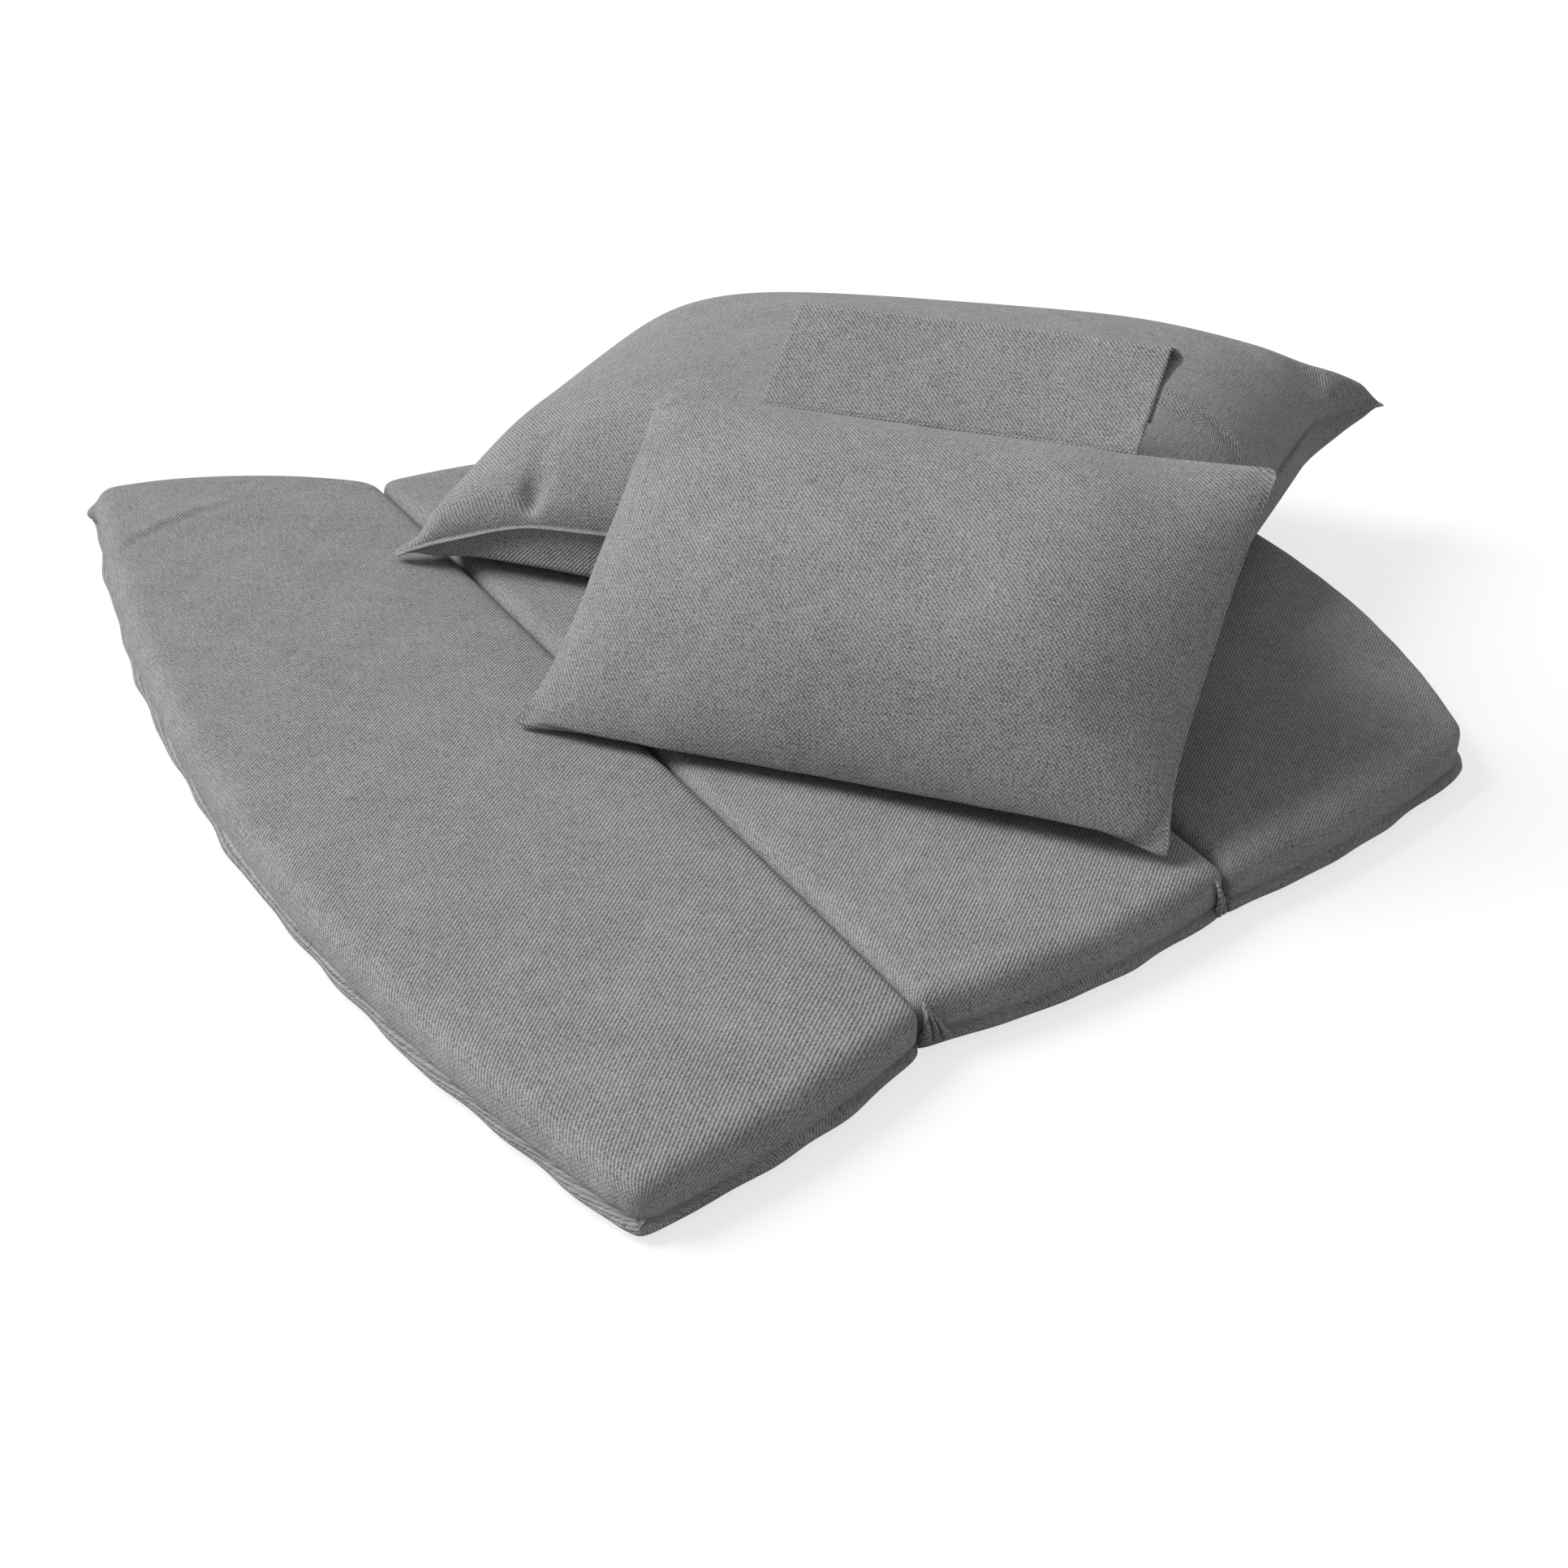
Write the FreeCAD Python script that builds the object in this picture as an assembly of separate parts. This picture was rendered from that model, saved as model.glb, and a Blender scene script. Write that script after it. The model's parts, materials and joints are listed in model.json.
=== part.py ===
import FreeCAD, Part
import math
import os

from FreeCAD import Placement, Rotation, Vector

# Cushion set for a garden lounge chair: a fan-shaped pad of three foam panels that folds at two sewn
# seams, a large back pillow lying on it, and a neck pillow with a hang-over flap leaning on that.
# Millimetres. The origin is the middle of the centre panel's underside. +X runs across the panels to
# the narrow end of the fan, +Y runs along the fold seams, +Z is up.

# Pad in plan: depths across the panels, half widths of the fan, and how far its edges bow out
wide_depth = 215.5
centre_depth = 240.0
narrow_depth = 241.5
wide_end_half = 484.0
wide_seam_half = 404.0
narrow_seam_half = 370.0
narrow_end_half = 299.0
wide_end_bow = 66.0
narrow_end_bow = 65.0
wide_side_bow = 8.0
wide_far_bow = 18.0
centre_side_bow = 11.0
narrow_side_bow = 10.0
corner_setback = 12.0

# The wide panel lies pulled out of square: its far corner is drawn in and its far side reaches further
far_corner_draw = 20.0
far_corner_reach = 26.0
far_seam_reach = 10.0

# Pad in section: flat underside, tucked base, rounded shoulders and a low crown
pad_height = 40.0
shoulder_radius = 16.0
crown_rise = 4.0
crown_reach = 95.0
base_seam_height = 10.0
base_tuck = 10.0
foam_clearance = 0.3

# Fold seams: a sewn bead at floor level that each outer panel turns about
fold_bead_radius = 1.5
fold_clearance = 0.3
shoulder_gap = 0.4

# Woven covers, the filled inner pillows inside them, and the sewn rim all round a pillow
cover_wall = 1.2
filling_clearance = 0.3
seam_allowance = 6.0
rim_half = 1.0

# Both pillows lie turned the same way, this far above what they rest on
pillow_turn = -52.0
rest_gap = 0.4

# Back pillow: knife edge, sides and ends drawn in between pointed corners, flat underneath
back_length = 614.0
back_width = 436.0
back_rise = 108.0
back_end_pull = 22.0
back_side_pull = 13.0
back_fullness = 2.8
back_centre_x = 194.0
back_centre_y = 152.0
back_lift = 34.0
back_tilt = 4.4

# Neck pillow: stands on the pad and leans back over the near edge of the back pillow
neck_length = 438.0
neck_width = 273.0
neck_rise = 45.0
neck_depth = 66.0
neck_depth_shift = 26.0
neck_end_pull = 8.0
neck_side_pull = 5.0
neck_fullness = 2.6
neck_tilt = 2.0
neck_lean = 33.0
neck_shift = 115.0

# Hang-over flap: a doubled band sewn to the neck pillow's top edge and folded back on itself
flap_width = 266.0
flap_offset = -16.0
flap_rise = 90.0
flap_thickness = 2.4
flap_slit = 7.0
flap_slit_length = 33.0
flap_tail = 62.0
flap_tail_gap = 0.6
flap_bead_radius = 2.0
flap_bead_flat = 0.5
flap_clearance = 0.3

# Zips in the hidden long edges of the pillows
back_zip_length = 340.0
neck_zip_length = 240.0
zip_width = 5.0
zip_thickness = 2.0
slider_length = 11.0
slider_wall = 1.4
slider_clearance = 0.3

pad_top = pad_height + crown_rise
wide_fold_x = -centre_depth / 2
narrow_fold_x = centre_depth / 2


def arc(start, middle, end):
    """Edge of a circular arc through three points."""
    return Part.Arc(start, middle, end).toShape()


def line(start, end):
    """Straight edge between two points."""
    return Part.LineSegment(start, end).toShape()


def walls(wires):
    """Faces through a stack of closed wires, with the last one closed by a face."""
    return Part.makeLoft(wires, False, True).Faces + [Part.Face(wires[-1])]


def solid_of(faces):
    """Closed solid from faces that meet edge to edge."""
    shell = Part.Shell(faces)
    shell.sewShape()
    solid = Part.Solid(Part.Shell(shell.Faces))
    return solid if solid.Volume > 0 else solid.reversed()


def shell_between(outer, inner):
    """Solid between two stacks of wires that start in one plane, as a cover open there."""
    return solid_of(walls(outer) + walls(inner) + [Part.Face([outer[0], inner[0]])])


def save(node, shape):
    """Write one piece to its own file."""
    shape.exportStep("parts/" + node + ".step")


# Pad


def inset_corners(corners, insets):
    """Corners of a straight-sided outline after each side has moved in by its own inset."""
    count = len(corners)
    sides = []
    for i in range(count):
        along = (corners[(i + 1) % count] - corners[i]).normalize()
        inward = Vector(-along.y, along.x, 0)
        sides.append((corners[i] + inward * insets[i], along))
    moved = []
    for i in range(count):
        before, before_dir = sides[i - 1]
        after, after_dir = sides[i]
        cross = before_dir.x * after_dir.y - before_dir.y * after_dir.x
        offset = after - before
        share = (offset.x * after_dir.y - offset.y * after_dir.x) / cross
        moved.append(before + before_dir * share)
    return moved


def bowed_point(start, end, bow, share):
    """Point at a share of the way along an edge that bows out between its ends."""
    chord = end - start
    outward = Vector(chord.y, -chord.x, 0).normalize()
    return start + chord * share + outward * (4 * bow * share * (1 - share))


def panel_outline(corners, bows, insets, setback, height):
    """Closed wire with bowed sides and rounded corners at one height."""
    moved = [corner + Vector(0, 0, height) for corner in inset_corners(corners, insets)]
    count = len(moved)
    runs = []
    for i in range(count):
        start = moved[i]
        end = moved[(i + 1) % count]
        cut = min(setback / (end - start).Length, 0.35)
        runs.append([bowed_point(start, end, bows[i], share) for share in (cut, 0.5, 1 - cut)])
    edges = []
    for i in range(count):
        first, middle, last = runs[i]
        edges.append(arc(first, middle, last) if bows[i] else line(first, last))
        after = runs[(i + 1) % count][0]
        corner = moved[(i + 1) % count]
        edges.append(arc(last, corner + ((last + after) * 0.5 - corner) * 0.586, after))
    return Part.Wire(edges)


def panel_levels(skin):
    """Heights with the insets of free and folding edges there, a skin inside the outer surface."""
    levels = [(skin, base_tuck + skin, fold_bead_radius + fold_clearance + skin)]
    levels.append((base_seam_height, skin, shoulder_gap + skin))
    for turn in (0, 30, 60, 90):
        angle = math.radians(turn)
        radius = shoulder_radius - skin
        height = pad_height - shoulder_radius + radius * math.sin(angle)
        inset = shoulder_radius - radius * math.cos(angle)
        levels.append((height, inset, shoulder_gap + inset))
    for share in (0.5, 1.0):
        height = pad_height - skin + crown_rise * share * (2 - share)
        inset = shoulder_radius + (crown_reach - shoulder_radius) * share
        levels.append((height, inset, shoulder_gap + inset))
    return levels


def make_panel(name, corners, bows, folds):
    """One panel: base cover up to the seam, top cover above it, and the foam inside."""

    def wires(skin):
        stack = []
        for height, free, fold in panel_levels(skin):
            insets = [fold if is_fold else free for is_fold in folds]
            stack.append(panel_outline(corners, bows, insets, corner_setback + free * 0.6, height))
        return stack

    outer = wires(0.0)
    inner = wires(cover_wall)
    save(name + "_base_cover", shell_between(outer[1::-1], inner[1::-1]))
    save(name + "_top_cover", shell_between(outer[1:], inner[1:]))
    save(name + "_foam", Part.makeLoft(wires(cover_wall + foam_clearance), True, True))


wide_end_x = wide_fold_x - wide_depth
narrow_end_x = narrow_fold_x + narrow_depth
wide_near = Vector(wide_fold_x, -wide_seam_half, 0)
wide_far = Vector(wide_fold_x, wide_seam_half + far_seam_reach, 0)
wide_end_near = Vector(wide_end_x, -wide_end_half, 0)
wide_end_far = Vector(wide_end_x + far_corner_draw, wide_end_half + far_corner_reach, 0)
narrow_near = Vector(narrow_fold_x, -narrow_seam_half, 0)
narrow_far = Vector(narrow_fold_x, narrow_seam_half, 0)


def make_pad():
    """The three panels and the two fold seams between them."""
    make_panel(
        "wide_panel",
        [wide_near, wide_far, wide_end_far, wide_end_near],
        [0, wide_far_bow, wide_end_bow, wide_side_bow],
        [True, False, False, False],
    )
    make_panel(
        "centre_panel",
        [wide_near, narrow_near, narrow_far, wide_far],
        [centre_side_bow, 0, centre_side_bow, 0],
        [False, True, False, True],
    )
    make_panel(
        "narrow_panel",
        [
            narrow_near,
            Vector(narrow_end_x, -narrow_end_half, 0),
            Vector(narrow_end_x, narrow_end_half, 0),
            narrow_far,
        ],
        [narrow_side_bow, narrow_end_bow, narrow_side_bow, 0],
        [False, False, False, True],
    )
    for node, fold_x, half in (
        ("wide_fold_seam", wide_fold_x, wide_seam_half),
        ("narrow_fold_seam", narrow_fold_x, narrow_seam_half),
    ):
        reach = half - corner_setback
        block = Part.makeBox(2 * fold_bead_radius, 2 * reach, fold_bead_radius)
        block.translate(Vector(fold_x - fold_bead_radius, -reach, 0))
        bead = Part.makeCylinder(fold_bead_radius, 2 * reach, Vector(fold_x, -reach, 0), Vector(0, 1, 0))
        save(node, bead.common(block))


# Pillows


class Pillow:
    """A knife-edge pillow: x along its length, y across it, z out of its front or upper cover."""

    STEPS = (0.3, 0.58, 0.8, 0.93, 0.985)
    STRAIGHT = 0.62

    def __init__(self, length, width, end_pull, side_pull, fullness):
        self.length = length
        self.width = width
        self.end_pull = end_pull
        self.side_pull = side_pull
        self.fullness = fullness
        self.edge_y = width / 2 - side_pull
        self.placement = Placement()

    def outline(self, share, rim, height_at, shift=0.0):
        """Closed wire round the pillow at a share of its crown: pointed corners, straight long sides."""
        to_corner = (1 - share) ** (1 / self.fullness)
        to_side = (1 - share ** 2) ** (1 / self.fullness)
        corner_x = to_corner * (self.length / 2 - rim)
        corner_y = to_corner * (self.width / 2 - rim)
        end_x = to_side * (self.length / 2 - self.end_pull - rim)
        side_y = to_side * (self.edge_y - rim)
        knee_x = end_x * self.STRAIGHT
        turn = math.atan2(corner_y - side_y, corner_x - knee_x)
        bend = (corner_x - knee_x) / math.sin(2 * turn)
        flare_x = knee_x + bend * math.sin(turn)
        flare_y = side_y + bend * (1 - math.cos(turn))

        def at(x, y):
            return Vector(x, y + shift, height_at(x, y))

        edges = []
        for s in (1, -1):
            first = at(s * corner_x, -s * corner_y)
            corner = at(s * corner_x, s * corner_y)
            knees = [at(s * knee_x, s * side_y), at(-s * knee_x, s * side_y)]
            last = at(-s * corner_x, s * corner_y)
            edges.append(arc(first, at(s * end_x, 0), corner))
            edges.append(arc(corner, at(s * flare_x, s * flare_y), knees[0]))
            edges.append(line(*knees))
            edges.append(arc(knees[1], at(-s * flare_x, s * flare_y), last))
        return Part.Wire(edges)

    def dome(self, skin, reach, shift=0.0):
        """Stack of wires from the seam plane to a crown that reaches up, or down if it is negative.

        The crown lies a shift across the pillow from the middle."""
        side = math.copysign(1.0, reach)
        crown = reach - side * skin
        rim = skin + seam_allowance if skin else 0.0
        stack = [self.outline(0, rim, lambda x, y: 0.0)]
        lip = side * rim_half if not skin else crown * 0.02
        stack.append(self.outline(0, rim, lambda x, y: lip))
        for share in self.STEPS:
            stack.append(self.outline(share, rim, lambda x, y, z=crown * share: z, shift * share))
        return stack

    def placed(self, shape):
        """The shape moved from the pillow's own axes to its place in the set."""
        shape.Placement = self.placement
        return shape

    def box(self, x, y, z):
        """Box between the low and high values of each local axis."""
        return self.placed(Part.makeBox(x[1] - x[0], y[1] - y[0], z[1] - z[0], Vector(x[0], y[0], z[0])))


def make_layers(name, pillow, covers):
    """The two outer covers of a pillow and the filled inner pillow between them."""
    filling = []
    for cover, stack in covers:
        save(name + "_" + cover + "_cover", pillow.placed(shell_between(stack(0.0), stack(cover_wall))))
        filling += walls(stack(cover_wall + filling_clearance))
    save(name + "_filling", pillow.placed(solid_of(filling)))


def make_zip(name, pillow, side, length):
    """Zip chain sewn to a long edge of a pillow, and the slider that closes it."""
    tip_y = pillow.edge_y + zip_width
    half = zip_thickness / 2

    def across(low, high):
        return (low, high) if side > 0 else (-high, -low)

    chain = pillow.box((-length / 2, length / 2), across(pillow.edge_y, tip_y), (-half, half))
    save(name + "_zip_chain", chain)
    gap = half + slider_clearance
    outside = gap + slider_wall
    end = length / 2
    mouth_y = pillow.edge_y + slider_wall
    inner_y = tip_y + slider_clearance
    slider = pillow.box((end - slider_length, end), across(mouth_y, inner_y + slider_wall), (-outside, outside))
    channel = pillow.box((end - 2 * slider_length, end + slider_length), across(0, inner_y), (-gap, gap))
    save(name + "_zip_slider", slider.cut(channel))


back_pillow = Pillow(back_length, back_width, back_end_pull, back_side_pull, back_fullness)
turned = Rotation(Vector(0, 0, 1), pillow_turn)
back_pillow.placement = Placement(
    Vector(back_centre_x, back_centre_y, pad_top + back_lift),
    turned.multiply(Rotation(Vector(0, 1, 0), -back_tilt)),
)


def back_upper(skin):
    """Wires of the back pillow's crowned upper half."""
    return back_pillow.dome(skin, back_rise)


def back_lower(skin):
    """Wires of the back pillow's lower half, down to a level face just above the pad."""
    rim = skin + seam_allowance if skin else 0.0
    slope = math.tan(math.radians(back_tilt))
    drop = (back_lift - rest_gap) / math.cos(math.radians(back_tilt)) - skin

    def sunk(share):
        return lambda x, y: -share * (drop + x * slope)

    stack = [back_pillow.outline(0, rim, lambda x, y: 0.0)]
    lip = rim_half if not skin else rim_half / 2
    stack.append(back_pillow.outline(0, rim, lambda x, y: -lip))
    for share, depth in ((0.3, 0.5), (0.5, 0.85), (0.66, 1.0)):
        stack.append(back_pillow.outline(share, rim, sunk(depth)))
    return stack


neck_pillow = Pillow(neck_length, neck_width, neck_end_pull, neck_side_pull, neck_fullness)
flap_seat_y = neck_pillow.edge_y + flap_clearance
flap_axis_y = flap_seat_y + flap_bead_radius - flap_bead_flat


def neck_front(skin):
    """Wires of the neck pillow's front half."""
    return neck_pillow.dome(skin, neck_rise)


def neck_rear(skin):
    """Wires of the neck pillow's rear half."""
    return neck_pillow.dome(skin, -neck_depth, neck_depth_shift)


def flap_band():
    """The flap in the neck pillow's own axes: a front layer, a round fold and a tail behind it."""
    left = flap_offset - flap_width / 2
    half = flap_thickness / 2
    loop = (flap_slit + flap_thickness) / 2
    fold_y = neck_pillow.edge_y + flap_rise
    root_y = flap_axis_y + flap_bead_radius + flap_clearance
    loop_y = fold_y - loop - half
    close_y = fold_y - flap_slit_length
    end_y = fold_y - flap_tail
    tail_z = -flap_thickness - flap_tail_gap

    def at(y, z):
        return Vector(left, y, z)

    def round_fold(radius):
        """Points over the fold, from the front layer to the tail."""
        angles = [math.radians(turn) for turn in (90, 45, 0, -45, -90)]
        return [at(loop_y + radius * math.cos(a), -loop + radius * math.sin(a)) for a in angles]

    outside = round_fold(loop + half)
    inside = round_fold(loop - half)[::-1]
    tail = [outside[-1], at(close_y, tail_z - half), at(end_y, tail_z - half)]
    tail += [at(end_y, tail_z + half), at(close_y, tail_z + half), inside[0]]
    front = [inside[-1], at(root_y, -half), at(root_y, half), outside[0]]
    edges = [arc(*outside[:3]), arc(*outside[2:])]
    edges += [line(start, end) for start, end in zip(tail, tail[1:])]
    edges += [arc(*inside[:3]), arc(*inside[2:])]
    edges += [line(start, end) for start, end in zip(front, front[1:])]
    return Part.Face(Part.Wire(edges)).extrude(Vector(flap_width, 0, 0))


def flap_bead():
    """The sewn bead, flattened against the neck pillow's top edge, that the flap swings about."""
    left = flap_offset - flap_width / 2
    bead = Part.makeCylinder(flap_bead_radius, flap_width, Vector(left, flap_axis_y, 0), Vector(1, 0, 0))
    beyond = Part.makeBox(flap_width, 2 * flap_bead_radius, 2 * flap_bead_radius)
    beyond.translate(Vector(left, flap_seat_y, -flap_bead_radius))
    return bead.common(beyond)


def seat_neck_pillow():
    """Stand the leaning neck pillow on the pad and push it, with its flap, up to the back pillow."""
    back = back_pillow.placed(solid_of(walls(back_upper(0.0)) + walls(back_lower(0.0))))
    pillow = solid_of(walls(neck_front(0.0)) + walls(neck_rear(0.0)))
    along = turned.multVec(Vector(1, 0, 0))
    push = turned.multVec(Vector(0, 1, 0))
    lean = turned.multiply(Rotation(Vector(0, 1, 0), -neck_tilt)).multiply(Rotation(Vector(1, 0, 0), neck_lean))
    leaning = Part.Compound([pillow, flap_band()])
    leaning.Placement = Placement(Vector(), lean)
    place = back_pillow.placement.Base + along * neck_shift - push * (back_width + neck_width) / 2
    place.z = pad_top + rest_gap - leaning.optimalBoundingBox(False, False).ZMin
    for attempt in range(5):
        leaning.Placement = Placement(place, lean)
        distance, pairs, _ = leaning.distToShape(back)
        nearest = pairs[0][1] - pairs[0][0]
        place += push * ((distance - rest_gap) * distance / max(nearest.dot(push), distance / 2))
    return Placement(place, lean)


os.makedirs("parts", exist_ok=True)
make_pad()
make_layers("back_pillow", back_pillow, (("upper", back_upper), ("lower", back_lower)))
make_zip("back_pillow", back_pillow, 1, back_zip_length)
neck_pillow.placement = seat_neck_pillow()
make_layers("neck_pillow", neck_pillow, (("front", neck_front), ("rear", neck_rear)))
make_zip("neck_pillow", neck_pillow, -1, neck_zip_length)
save("flap_seam", neck_pillow.placed(flap_bead()))
save("hang_flap", neck_pillow.placed(flap_band()))
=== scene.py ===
import json
import math

import bmesh
import bpy
import numpy as np
from mathutils import Matrix, Vector


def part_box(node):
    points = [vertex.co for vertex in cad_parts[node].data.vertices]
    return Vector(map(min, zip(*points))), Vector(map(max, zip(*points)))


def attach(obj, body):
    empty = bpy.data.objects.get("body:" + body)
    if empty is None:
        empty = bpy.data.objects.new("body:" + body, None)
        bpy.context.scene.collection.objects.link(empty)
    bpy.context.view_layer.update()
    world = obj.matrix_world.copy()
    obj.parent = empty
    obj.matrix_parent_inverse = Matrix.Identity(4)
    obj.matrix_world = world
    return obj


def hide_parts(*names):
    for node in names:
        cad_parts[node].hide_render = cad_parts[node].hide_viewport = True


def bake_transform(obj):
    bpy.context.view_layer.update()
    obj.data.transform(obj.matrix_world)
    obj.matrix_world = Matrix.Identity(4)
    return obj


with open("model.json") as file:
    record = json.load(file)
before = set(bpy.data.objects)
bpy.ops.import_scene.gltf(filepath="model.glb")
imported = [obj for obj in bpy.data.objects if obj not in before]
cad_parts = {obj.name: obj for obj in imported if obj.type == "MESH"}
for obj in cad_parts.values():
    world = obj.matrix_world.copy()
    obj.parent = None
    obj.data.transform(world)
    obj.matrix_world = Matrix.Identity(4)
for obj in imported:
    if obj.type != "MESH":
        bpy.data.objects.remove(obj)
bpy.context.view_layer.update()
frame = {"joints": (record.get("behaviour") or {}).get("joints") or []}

# Grey outdoor cloth
# Every cover is cut from one heathered cloth: light and dark grey yarns mixed in a coarse twill, whose
# slanting ribs repeat every 3 mm. It is matt, with a faint fuzz.

MM_PER_M = 1000.0
CLOTH_LIGHT = (0.460, 0.446, 0.440)
CLOTH_DARK = (0.100, 0.096, 0.094)
CLOTH_FINISH = {"Roughness": 0.92, "Specular IOR Level": 0.2, "Sheen Weight": 0.08, "Sheen Roughness": 0.5}
RIB_REPEAT = 3.1
RIB_WANDER = 0.35
WANDER_SCALE = 0.05
FLOAT_SHARE = 0.45
YARN_FINE = 1.1
YARN_LONG = 0.07
SPECK_SCALE = 0.55
CLOUD_SCALE = 0.02
PLAIN_TONE = 0.30
RIB_TONE = 0.65
YARN_TONE = 0.7
SPECK_TONE = 1.4
CLOUD_TONE = 0.3
SPECK_RELIEF = 0.6
RELIEF_STRENGTH = 0.7
RELIEF_DEPTH = 0.0007


class Value:
    """One number in a material's node tree, so that sums of numbers read as sums."""

    def __init__(self, tree, socket):
        self.tree = tree
        self.socket = socket

    def node(self, kind, settings, inputs, output=0):
        """A new node of that kind: its settings first, then the values or links of its sockets."""
        made = self.tree.nodes.new(kind)
        for name, setting in settings.items():
            setattr(made, name, setting)
        for name, given in inputs.items():
            if isinstance(given, Value):
                self.tree.links.new(given.socket, made.inputs[name])
            else:
                made.inputs[name].default_value = given
        return Value(self.tree, made.outputs[output])

    def math(self, operation, first, second=0.0):
        return self.node("ShaderNodeMath", {"operation": operation}, {0: first, 1: second})

    def __add__(self, other):
        return self.math("ADD", self, other)

    def __sub__(self, other):
        return self.math("SUBTRACT", self, other)

    def __rsub__(self, other):
        return self.math("SUBTRACT", other, self)

    def __mul__(self, other):
        return self.math("MULTIPLY", self, other)

    __radd__ = __add__
    __rmul__ = __mul__

    def wave(self):
        """This number as turns of a wave that swings between 0 and 1."""
        return 0.5 + 0.5 * self.math("SINE", self * (2 * math.pi))


def new_material(name, source):
    """An empty material, and a value to start its nodes from: a piece's own map or space, in millimetres."""
    material = bpy.data.materials.new(name)
    material.use_nodes = True
    tree = material.node_tree
    shader = tree.nodes["Principled BSDF"]
    place = Value(tree, tree.nodes.new("ShaderNodeTexCoord").outputs[source])
    scaled = place.node("ShaderNodeVectorMath", {"operation": "SCALE"}, {0: place, "Scale": MM_PER_M})
    return material, shader, scaled


def noise(place, scale, detail):
    """Soft noise over a place in millimetres, with its own scale along each axis."""
    stretched = place.node("ShaderNodeVectorMath", {"operation": "MULTIPLY"}, {0: place, 1: scale})
    return place.node("ShaderNodeTexNoise", {}, {"Vector": stretched, "Scale": 1.0, "Detail": detail})


def colour_between(factor, dark, light):
    """A colour that goes from dark to light with a factor, by the colour sockets of a Mix node."""
    inputs = {"Factor": factor, 6: (*dark, 1), 7: (*light, 1)}
    return factor.node("ShaderNodeMix", {"data_type": "RGBA"}, inputs, output=2)


def woven_cloth(name, light, dark):
    """Heathered twill: slanting ribs broken into floats, over yarns of uneven tone."""
    material, shader, cloth = new_material(name, "UV")
    x = cloth.node("ShaderNodeSeparateXYZ", {}, {0: cloth})
    y = Value(x.tree, x.socket.node.outputs["Y"])
    wander = RIB_WANDER * (noise(cloth, (WANDER_SCALE, WANDER_SCALE, 0), detail=2.0) - 0.5)
    rib = ((x + y) * (1 / RIB_REPEAT) + wander).wave()
    floats = ((x - y) * (1 / RIB_REPEAT) + wander).wave()
    weft = noise(cloth, (YARN_LONG, YARN_FINE, 0), detail=1.0) - 0.5
    warp = noise(cloth, (YARN_FINE, YARN_LONG, 0), detail=1.0) - 0.5
    specks = noise(cloth, (SPECK_SCALE, SPECK_SCALE, 0), detail=3.0) - 0.5
    cloudy = noise(cloth, (CLOUD_SCALE, CLOUD_SCALE, 0), detail=3.0) - 0.5
    height = rib * (1 - FLOAT_SHARE + FLOAT_SHARE * floats)
    yarns = YARN_TONE * (weft + warp)
    tone = PLAIN_TONE + RIB_TONE * height + yarns + SPECK_TONE * specks + CLOUD_TONE * cloudy
    relief = height + SPECK_RELIEF * specks
    bump_inputs = {"Height": relief, "Strength": RELIEF_STRENGTH, "Distance": RELIEF_DEPTH}
    bump = cloth.node("ShaderNodeBump", {}, bump_inputs)
    cloth.tree.links.new(colour_between(tone, dark, light).socket, shader.inputs["Base Color"])
    cloth.tree.links.new(bump.socket, shader.inputs["Normal"])
    for name, amount in CLOTH_FINISH.items():
        shader.inputs[name].default_value = amount
    return material


cover_cloth = woven_cloth("grey_twill", CLOTH_LIGHT, CLOTH_DARK)

# Pad panels
# Three flat foam cushions make the fan-shaped pad. Each top cover wraps the sides and meets the base
# cover in a sewn line low on the side. The foam gives them a low crown and soft rounded shoulders.

PAD_HEIGHT = 0.040
CROWN_RISE = 0.0035
CROWN_REACH = 0.095
SHOULDER = 0.016
SEAM_HEIGHT = 0.0125
SEAM_DRAW = 0.0030
SEAM_GROOVE = 0.0022
BASE_TUCK = 0.007
FOLD_TUCK = 0.002
BASE_BULGE = 0.0030
BASE_CURVES = (1.6, 1.4)
FOLD_GAP = 0.0006
FOLD_SHOULDER = 0.012
CORNER_ROUND = 0.016
FOLD_CORNER_ROUND = 0.008
FAR_NOTCH_ROUND = 0.019
EAR_CORNER_ROUND = 0.022
END_SKEW = 0.10
SIDE_STEPS = 14
SIDE_SPACING = 1.25
CLOTH_STEP = 0.0055
LEAST_FLAT = 0.001
LEAST_RISE = 1e-4
SHOULDER_BLEND = 5
SIDE_FADE = 0.012
SIDE_WAVE = 0.0011
SIDE_WAVE_LENGTHS = (0.052, 0.048)
BASE_WAVE_LENGTHS = (0.085, 0.075)
SLACK = 0.0006
SLACK_LENGTH = 0.11
SLACK_SLANT = 0.4
RIPPLE_STRETCHES = (1.0, 1.63, 0.71, 2.7)


def ripple(along, length, seed):
    """Uneven waves along a line, about as long as given, between -1 and 1."""
    random = np.random.default_rng(seed)
    total = np.zeros_like(along)
    for stretch in RIPPLE_STRETCHES:
        total += np.sin(2 * np.pi * along / (length * stretch) + random.uniform(0, 2 * np.pi))
    return total / len(RIPPLE_STRETCHES)


def bell(distance, width):
    """A smooth bump that is 1 in the middle and fades over a width."""
    return np.exp(-(distance / width) ** 2)


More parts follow.
